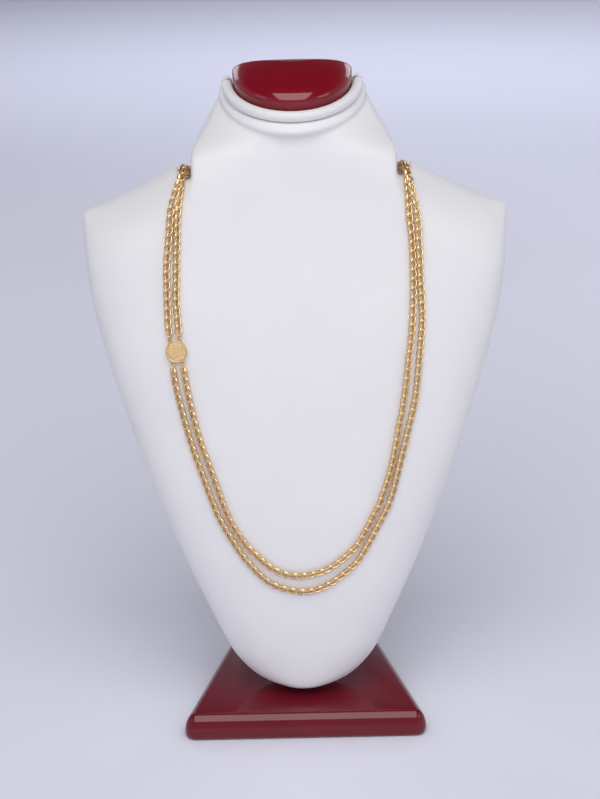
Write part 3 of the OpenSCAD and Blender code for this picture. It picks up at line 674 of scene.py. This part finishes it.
# %% [markdown]
# ## The strands' routes
#
# Each strand leaves a jump ring on the disc, lies on the chest, climbs through a notch and runs
# behind the neck to the clasp. A simulation could drop it there, but a real chain's lie is a matter
# of chance, so the route is given. The rows below are the same points as in the part's source. A
# smooth curve passes through them, and the links are spaced along its length.

# %% Route points
# Over the front: x, height, lift off the form, in mm
OUTER_LONG = [
    [-69.5, 191.5, 0], [-65.5, 172.5, 0], [-62, 158.5, 0], [-56, 139, 0], [-48, 115, 0],
    [-38.5, 96.5, 0], [-30.5, 84.5, 0], [-19.5, 73, 0], [-7.5, 68, 0], [4, 67, 0],
    [16, 71.5, 0], [28, 81, 0], [34, 88, 0], [43, 104.5, 0], [51.5, 122.5, 0],
    [57, 143.5, 0], [63.5, 170, 0], [66.5, 184, 0], [68.5, 202.5, 0], [70.5, 225, 0],
    [70.5, 239, 0], [70, 250, 0.3], [69.6, 262, 0.9], [69.2, 272.5, 1.2], [68.5, 283, 2],
    [67.2, 291.5, 3.24], [65.7, 298.5, 4.28], [64.6, 303, 4.16]]
INNER_LONG = [
    [-63.5, 191.5, 0], [-60, 172.5, 0], [-56.5, 158.5, 0], [-51.5, 143, 0], [-42.5, 115, 0],
    [-36, 102.5, 0], [-30.5, 94.5, 0], [-19, 83, 0], [-7.5, 77.5, 0], [4.5, 77.5, 0],
    [16, 81.5, 0], [28, 91, 0], [34, 98.5, 0], [41.5, 113, 0], [46, 122.5, 0],
    [52.5, 143.5, 0], [57, 167, 0], [59.5, 179.5, 0], [62.5, 202.5, 0], [65, 225.5, 0],
    [66, 250, 0], [65.5, 272.5, 0], [64.5, 283, 0], [64, 291.5, 0], [64, 298.5, 0],
    [63.7, 303, 0]]
OUTER_SHORT = [
    [-73, 230.5, 0], [-73, 241.5, 0], [-73, 250.5, 0], [-73, 257.5, 0], [-72.5, 264, 0],
    [-71.5, 273, 0.2], [-70.4, 282, 1], [-69, 290, 3.14], [-66.9, 297, 4.48],
    [-64.9, 302.5, 4.26]]
INNER_SHORT = [
    [-67.5, 232.5, 0], [-68, 241.5, 0], [-67.5, 255, 0], [-67, 268.5, 0], [-66.5, 277.5, 0],
    [-66, 286.5, 0], [-65.2, 296, 0], [-64, 302.5, 0]]
# Through a notch and behind the neck: x, depth, height, angle of the outside from the front,
# lift of the outer strand, half the distance between the two
OVER_NOTCH = [
    [63.62, 40.81, 308.09, 43, 3.18, 0], [63.02, 37.73, 310.71, 63, 3.18, 0],
    [62.42, 33.83, 312.1, 84, 3.18, 0], [61.76, 28.23, 311.5, 94, 3.18, 0],
    [61.5, 21.5, 310.1, 92, 3.18, 0], [61.4, 13, 309.9, 94, 3.18, 0],
    [61.5, 4, 309.9, 100, 3.18, 0], [61.1, -0.2, 309.6, 112, 3.18, 0],
    [59.2, -4.35, 308.4, 122, 3.18, 0], [56.1, -7.25, 306.6, 132, 3.18, 0],
    [51.9, -8.45, 304.4, 142, 3.18, 0], [47, -7.95, 302, 153, 3.18, 0],
    [41.5, -6.33, 299, 167, 3.18, 0.3], [35.6, -4.4, 295.8, 174, 3, 1.1],
    [26.8, -2.9, 292, 180, 2.1, 2], [17.5, -2.2, 289.3, 180, 0.6, 2.4],
    [11, -2.2, 288.2, 180, 0, 2.5]]
print("route rows:", len(OUTER_LONG), len(INNER_LONG), len(OUTER_SHORT), len(INNER_SHORT),
      "and", len(OVER_NOTCH), "through each notch")

# %% [markdown]
# ## The disc's place
#
# The disc lies flat on the chest between the long and the short strands. Its tilt could be typed in
# as angles, but it follows from the form under it, whose slopes give the direction that it faces.

# %% Where the disc sits
DISC_X, DISC_Z, DISC_D, DISC_T = -68.8, 212.2, 12.3, 1.7
# Height off the form of the disc's back, and of the middle of its eyes
DISC_LOW, DISC_RIDE = 0.7, 2.1
# An eye's radius and wire, its distance from the disc's middle, and the strand's end from the eye
EYE_R, EYE_WIRE = 1.0, 0.6
EYE_AT = DISC_D / 2 + EYE_R
LINK_AT = 2.3
# Angle of each eye round the disc, and the angle at which its ring hangs from it
UPPER_OUTER, UPPER_INNER, LOWER_OUTER, LOWER_INNER = (118, 94), (74, 93), (250, 277), (298, 277)
HALF_STEP = 0.5


def outside(x, z):
    """The direction that faces out of the form: the slopes of its depth, over 1 mm."""
    across = depth(x - HALF_STEP, z) - depth(x + HALF_STEP, z)
    upward = depth(x, z - HALF_STEP) - depth(x, z + HALF_STEP)
    return unit(np.stack([across, -np.ones_like(across), upward], -1))


disc_out = outside(np.array(DISC_X), np.array(DISC_Z))
disc_up = unit(np.cross(disc_out, [1, 0, 0]))
disc_side = np.cross(disc_up, disc_out)
disc_mid = np.array([DISC_X, -depth(DISC_X, DISC_Z), DISC_Z]) + disc_out * DISC_RIDE


def on_face(angle, r):
    """A step in the disc's plane, r mm long, at an angle in degrees."""
    a = np.radians(angle)
    return r * np.cos(a) * disc_side + r * np.sin(a) * disc_up


print("the disc faces", np.round(disc_out, 2))

# %% [markdown]
# ## A strand's curve
#
# A strand's rows are put together from its eye on the disc, the front, the notch and the clasp.
# Each row is a place and the direction that faces out there. A Bezier curve would need handles, so
# a Catmull-Rom curve is used, which passes through its rows and takes its slopes from them.

# %% A strand's curve
# Height of the strand's middle off the form, and the heights between which it stops turning with it
RIDE, TURN_Z = 1.75, [265, 295]
# The clasp's height and distance behind the back, the strands' ends beside its middle, and half
# the distance between the two
CLASP_Z, CLASP_BACK, CLASP_END, STRAND_GAP = 287.5, 2.2, 6.0, 2.5
CURVE_PARTS = 6


def front_rows(rows):
    """Rows on the chest: a place, RIDE above the form, and the direction that faces out. Towards
    the notch the strand stops turning sideways with the form."""
    x, z, lift = np.array(rows, float).T
    normal = outside(x, z)
    sideways = np.interp(z, TURN_Z, [1, 0])
    out = unit(normal * np.stack([sideways, 1 + 0 * x, 1 + 0 * x], -1))
    rise = RIDE / np.sum(normal * out, -1) + lift
    return np.hstack([np.stack([x, -depth(x, z), z], -1) + out * rise[:, None], out])


def notch_rows(side, is_outer):
    """Rows through the notch: the outer strand lies lifted on the inner one, and behind the neck
    they part, one above the other."""
    x, deep, z, angle, lift, spread = np.array(OVER_NOTCH, float).T
    a = np.radians(angle)
    out = np.stack([0 * a, -np.cos(a), np.sin(a)], -1)
    middle = np.stack([side * x, -deep, z + (spread if is_outer else -spread)], -1)
    return np.hstack([middle + out * (lift[:, None] if is_outer else 0), out])


def strand_curve(eye, rows, side, is_outer):
    """All rows of a strand from its eye on the disc to the clasp, then a Catmull-Rom curve: in
    each gap a cubic through both ends, with slopes from the rows beside them. The first and the
    last row count twice, for the slopes at the ends."""
    start = disc_mid + on_face(eye[0], EYE_AT) + on_face(eye[1], LINK_AT)
    clasp = [side * CLASP_END, CLASP_BACK, CLASP_Z + (STRAND_GAP if is_outer else -STRAND_GAP)]
    r = np.vstack([np.hstack([start, disc_out]), front_rows(rows), notch_rows(side, is_outer),
                   [*clasp, 0, 1, 0]])
    ends_twice = np.vstack([r[:1], r, r[-1:]])
    a, b, c, d = (ends_twice[k:k + len(r) - 1, None] for k in range(4))
    t = (np.arange(CURVE_PARTS) / CURVE_PARTS)[None, :, None]
    curve = 0.5 * (2 * b + (c - a) * t + (2 * a - 5 * b + 4 * c - d) * t**2
                   + (3 * b - 3 * c + d - a) * t**3)
    return np.vstack([curve.reshape(-1, r.shape[1]), r[-1:]])


print("the first row of a strand:",
      np.round(strand_curve(LOWER_OUTER, OUTER_LONG, 1, True)[0, :3], 1), "mm")

# %% [markdown]
# ## One link
#
# A link is an oval loop of wire with its two ends twisted against each other, so that the chain
# lies flat. One long side of it is hammered broad and catches the light. The other stays narrow,
# and the slit between them looks dark. Wire that looks round needs many faces, and there are
# hundreds of links, so the wire has six sides with a flat on top, which suits a hammered link.

# %% The link
LINK_HALF, LINK_W, WIRE = 3.4, 4.4, 1.1
# Width and thickness of the wire at the middle of each long side, and the power of their swelling
BROAD, NARROW, SIDE_POWER = (2.85, 2.1), (1.05, 1.8), 4
# How far the ends lie towards the narrow side, the power with which that fades, then the turns
# about the link's length: of the whole link, and of its two ends against its middle
END_SHIFT, END_POWER = 0.3, 4
LINK_ROLL, TWIST = np.radians(14), np.radians(38)
LOOP_SIDES, WIRE_SIDES = 12, 6


def loop_line(a, wide):
    """The middle line of a wire as wide as given: an oval, each half turned about its length. Its
    ends are shifted to lie in line with the slit."""
    c, s = np.cos(a), np.sin(a)
    along = LINK_HALF * c
    across = (LINK_W - wide) / 2 * s - END_SHIFT * c**END_POWER
    turn = TWIST * along / LINK_HALF
    return np.stack([along, across * np.cos(turn), across * np.sin(turn)], -1)


def link_grid():
    """Rings of wire round the loop, each an oval of six points with a flat on top, broad on one
    long side. The whole link is then rolled about its length."""
    step = 2 * np.pi / LOOP_SIDES
    a = (np.arange(LOOP_SIDES) + 0.5) * step
    swelling = np.sin(a) ** SIDE_POWER
    side = np.where(np.sin(a)[:, None] > 0, BROAD, NARROW)
    wide, deep = mix(WIRE, side[:, 0], swelling), mix(WIRE, side[:, 1], swelling)
    line = loop_line(a, wide)
    tangent = unit(loop_line(a + step, wide) - loop_line(a - step, wide))
    outward = square_to(line, tangent)
    upward = np.cross(tangent, outward)
    w = np.arange(WIRE_SIDES) * 2 * np.pi / WIRE_SIDES
    ring = (wide[:, None, None] / 2 * np.cos(w)[:, None] * outward[:, None]
            + deep[:, None, None] / 2 * np.sin(w)[:, None] * upward[:, None])
    x, y, z = np.moveaxis(line[:, None] + ring, -1, 0)
    return np.stack([x, y * np.cos(LINK_ROLL) - z * np.sin(LINK_ROLL),
                     y * np.sin(LINK_ROLL) + z * np.cos(LINK_ROLL)], -1)


link_points = link_grid().reshape(-1, 3)
# The ring after the last is the first, and the corners run the other way round
link_faces = grid_quads(LOOP_SIDES + 1, WIRE_SIDES, True)[:, [0, 3, 2, 1]] % len(link_points)
print("a link has", len(link_faces), "faces")

# %% [markdown]
# ## The four strands
#
# A real chain is one link, made a few hundred times, at an even pitch. An array that is bent along
# a curve would stretch the links at its bends, so each is set whole, at its own station of the
# curve. All stations are worked out at once, and each strand is one mesh.

# %% The four strands
PITCH_MM = 5.16
# With so few sides, the loop's middle line ends a little short of its half length
LINK_END = LINK_HALF * np.cos(np.pi / LOOP_SIDES)


def new_strand(name, eye, rows, side, is_outer):
    """Links along a strand's curve. Each takes its direction from the curve 1 mm before and after
    its middle, and faces out as the rows say. Its broad side is at the left of the way from the
    disc to the clasp."""
    curve = strand_curve(eye, rows, side, is_outer)
    gaps = np.linalg.norm(np.diff(curve[:, :3], axis=0), axis=1)
    lengths = np.concatenate([[0], np.cumsum(gaps)])
    total = lengths[-1]
    count = round((total - 2 * LINK_END) / PITCH_MM) + 1
    at = np.linspace(LINK_END, total - LINK_END, count)

    def read(s):
        """The curve's place and outside at a length along it."""
        return np.stack([np.interp(s, lengths, column) for column in curve.T], -1)

    here = read(at)
    along = unit(read(at + 1)[:, :3] - read(at - 1)[:, :3])
    out = square_to(here[:, 3:], along)
    beside = np.cross(out, along)
    p = link_points
    points = (here[:, None, :3] + p[:, 0, None] * along[:, None]
              + p[:, 1, None] * beside[:, None] + p[:, 2, None] * out[:, None])
    faces = link_faces + (np.arange(count) * len(link_points))[:, None, None]
    print(name, "is", round(total, 1), "mm long, with", count, "links")
    return piece_from(f"strand_{name}", leaned(points).reshape(-1, 3), faces.reshape(-1, 4),
                      gold, f"chain_{name}")


new_strand("outer_long", LOWER_OUTER, OUTER_LONG, 1, True)
new_strand("inner_long", LOWER_INNER, INNER_LONG, 1, False)
new_strand("outer_short", UPPER_OUTER, OUTER_SHORT, -1, True)
new_strand("inner_short", UPPER_INNER, INNER_SHORT, -1, False)

# %% [markdown]
# ## The disc
#
# The side disc is cast with a low rim and a face full of grains. Each grain could be a small ball,
# but as a height over a polar grid the face is one closed surface: each grain is a dome, and the
# highest one counts. The grains follow a sunflower's spiral, which spaces them evenly. The disc's
# four eyes are small rings of wire.

# %% Face and back of the disc
RINGS, SPOKES = 46, 150
FACE_R, GRAIN_REACH = 5.35, 5.1
GRAINS, GRAIN_R, GRAIN_SINK = 118, 0.56, 0.24
GOLDEN_TURN = np.pi * (3 - np.sqrt(5))
# Radii of the grid's rings over the rim, and the rim's profile: radius and height
RIM_RINGS = [5.5, 5.65, 5.8, 6.0, 6.1, DISC_D / 2]
RIM_R, RIM_H = [5.3, 5.5, 5.65, 6.0, 6.1, 6.15], [0, 0.14, 0.2, 0.2, 0.12, 0.0]
# From the rim down the side and over the back to its middle: radius and height
BACK = [[DISC_D / 2, DISC_T - 0.3], [DISC_D / 2, 0.7], [DISC_D / 2, 0.5], [6.0, 0.3],
        [5.8, 0.2], [5.7, 0], [3, 0], [0, 0]]


def grain_field(x, y):
    """Height of equal domes on a spiral: grain n lies at reach * sqrt(n / count), n golden turns
    round. At each place the highest sphere's top counts, less its sink, and no less than 0."""
    n = np.arange(GRAINS) + 0.5
    at = GRAIN_REACH * np.sqrt(n / GRAINS)
    off = ((x[..., None] - at * np.cos(n * GOLDEN_TURN)) ** 2
           + (y[..., None] - at * np.sin(n * GOLDEN_TURN)) ** 2)
    domes = np.sqrt(np.maximum(GRAIN_R**2 - off, 0)).max(-1)
    return np.maximum(domes - GRAIN_SINK, 0)


r = np.concatenate([np.linspace(0, FACE_R, RINGS), RIM_RINGS])[:, None]
a = np.linspace(0, 2 * np.pi, SPOKES, endpoint=False)
x, y = r * np.cos(a), r * np.sin(a)
face = np.stack([x, y, DISC_T + grain_field(x, y) + np.interp(r, RIM_R, RIM_H)], -1)
back_r, back_z = np.array(BACK).T[..., None]
back = np.stack([back_r * np.cos(a), back_r * np.sin(a), back_z + 0 * a], -1)
disc_grid = np.concatenate([face, back])
print("the disc has", GRAINS, "grains")

# %% Disc with its eyes
EYE_STEPS, EYE_SIDES = 28, 10


def place_on_disc(points):
    """Points over the disc's face, with z from its back, moved to where the disc sits."""
    x, y, z = np.moveaxis(points, -1, 0)
    z = z + DISC_LOW - DISC_RIDE
    return leaned(disc_mid + x[..., None] * disc_side + y[..., None] * disc_up
                  + z[..., None] * disc_out)


def eye_ring(angle):
    """An eye at an angle of the disc: a small circle of wire carried round a large one. The first
    row is repeated at the end, so that the ring closes that way too."""
    u = np.linspace(0, 2 * np.pi, EYE_STEPS, endpoint=False)[:, None]
    v = np.linspace(0, 2 * np.pi, EYE_SIDES, endpoint=False)
    radial = EYE_R + EYE_WIRE / 2 * np.cos(v)
    ring = (disc_mid + on_face(angle, EYE_AT) + (radial * np.cos(u))[..., None] * disc_side
            + (radial * np.sin(u))[..., None] * disc_up
            + (EYE_WIRE / 2 * np.sin(v) + 0 * u)[..., None] * disc_out)
    return leaned(np.concatenate([ring, ring[:1]]))


eyes = [(eye_ring(eye[0]), True) for eye in (UPPER_OUTER, UPPER_INNER, LOWER_OUTER, LOWER_INNER)]
new_piece("side_disc", [(place_on_disc(disc_grid), True), *eyes], matt_gold, "disc")

# %% [markdown]
# ## Jump rings and clasp
#
# Four jump rings tie the strands to the disc, and a plain bar with four eyes closes the necklace
# behind the neck. They could be made anew like the links, but their CAD shapes are right as they
# are, so they only get the plating.

# %% Finish for the kept parts
for name in ("ring_upper_outer", "ring_upper_inner", "ring_lower_outer", "ring_lower_inner",
             "clasp"):
    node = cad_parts[name]
    node.data.materials.clear()
    node.data.materials.append(gold)
print("plated the rings and the clasp")

# %% [markdown]
# ## The floor
#
# The floor is smooth and pale lavender. It could curve up behind, as a studio's paper backdrop
# does, but the camera looks down on it, so a flat round floor is enough. It runs 10 m to all sides,
# past what the camera sees.

# %% Floor
FLOOR_RINGS_M, FLOOR_SIDES = np.array([0, 0.4, 1, 2.5, 5, 10.0])[:, None], 64

floor_material = new_material("matt_paper_backdrop", {
    "Base Color": linear("#F0F1FF"), "Roughness": 0.7})[0]
a = np.linspace(0, 2 * np.pi, FLOOR_SIDES, endpoint=False)
floor_points = np.stack([FLOOR_RINGS_M * np.cos(a), FLOOR_RINGS_M * np.sin(a),
                         0 * FLOOR_RINGS_M * a], -1)
floor_mesh = bpy.data.meshes.new("floor")
floor_mesh.from_pydata(floor_points.reshape(-1, 3).tolist(), [],
                       grid_quads(len(FLOOR_RINGS_M), FLOOR_SIDES, True).tolist())
floor_mesh.materials.append(floor_material)
new_object("floor", floor_mesh)
print("floor", 2 * float(FLOOR_RINGS_M.max()), "m across")

# %% [markdown]
# ## The light
#
# One large softbox hangs above and in front, and its mirror image is the bright patch on the cap
# and the line on the foot. Two weak ones stand at the sides, and two lamps light the bust from
# behind. Two more, of a cooler white, light the floor behind it. An even sky would be simpler, but
# lacquer mirrors it and looks milky, so this one gets darker upwards.

# %% Sky
world = bpy.data.worlds.new("studio")
bpy.context.scene.world = world
world.use_nodes = True
sky = world.node_tree.nodes["Background"]
sky.inputs["Color"].default_value = linear("#E9EAFA")
tree = world.node_tree
look = add_node(tree, "ShaderNodeTexCoord")
split = add_node(tree, "ShaderNodeSeparateXYZ", {}, {"Vector": look.outputs["Generated"]})
fade = add_node(tree, "ShaderNodeMapRange",
                {"From Min": 0.28, "From Max": 0.7, "To Min": 0.5, "To Max": 0.05},
                {"Value": split.outputs["Z"]})
tree.links.new(fade.outputs["Result"], sky.inputs["Strength"])
print("the sky fades upwards")

# %% Lamps
WHITE, COOL_WHITE = "#FFFFFF", "#F2F4FF"
# Name, place, the point that it faces, side in metres, power in watts, colour
LAMPS = [
    ("top_softbox", (0.0, -1.95, 2.75), (0, 0, 0.2), 2.8, 77, WHITE),
    ("left_softbox", (-1.7, -0.8, 1.0), (0, 0, 0.15), 0.8, 1.5, WHITE),
    ("right_softbox", (1.7, -0.8, 1.0), (0, 0, 0.15), 0.8, 3, WHITE),
    ("left_rim_lamp", (-0.95, 1.25, 0.95), (0, 0, 0.25), 0.6, 2.2, WHITE),
    ("right_rim_lamp", (0.95, 1.25, 0.95), (0, 0, 0.25), 0.6, 2.2, WHITE),
    ("near_backdrop_lamp", (0.9, 0.9, 2.0), (1.6, 6, 0), 1.0, 18, COOL_WHITE),
    ("far_backdrop_lamp", (0.2, 2.6, 3.0), (0.4, 9, 0), 1.4, 90, COOL_WHITE)]


def add_lamp(name, at, aim, size, watts, colour):
    """A square area light at a place in metres, turned to face another."""
    data = bpy.data.lights.new(name, "AREA")
    data.shape, data.size, data.energy = "SQUARE", size, watts
    data.color = linear(colour)[:3]
    back = unit(np.array(at) - np.array(aim))
    beside = unit(np.cross([0, 0, 1], back))
    place_by_axes(new_object(name, data), beside, np.cross(back, beside), back, at)


for lamp in LAMPS:
    add_lamp(*lamp)
bpy.context.scene.view_settings.view_transform = "Standard"
print(len(LAMPS), "lamps and a soft sky")
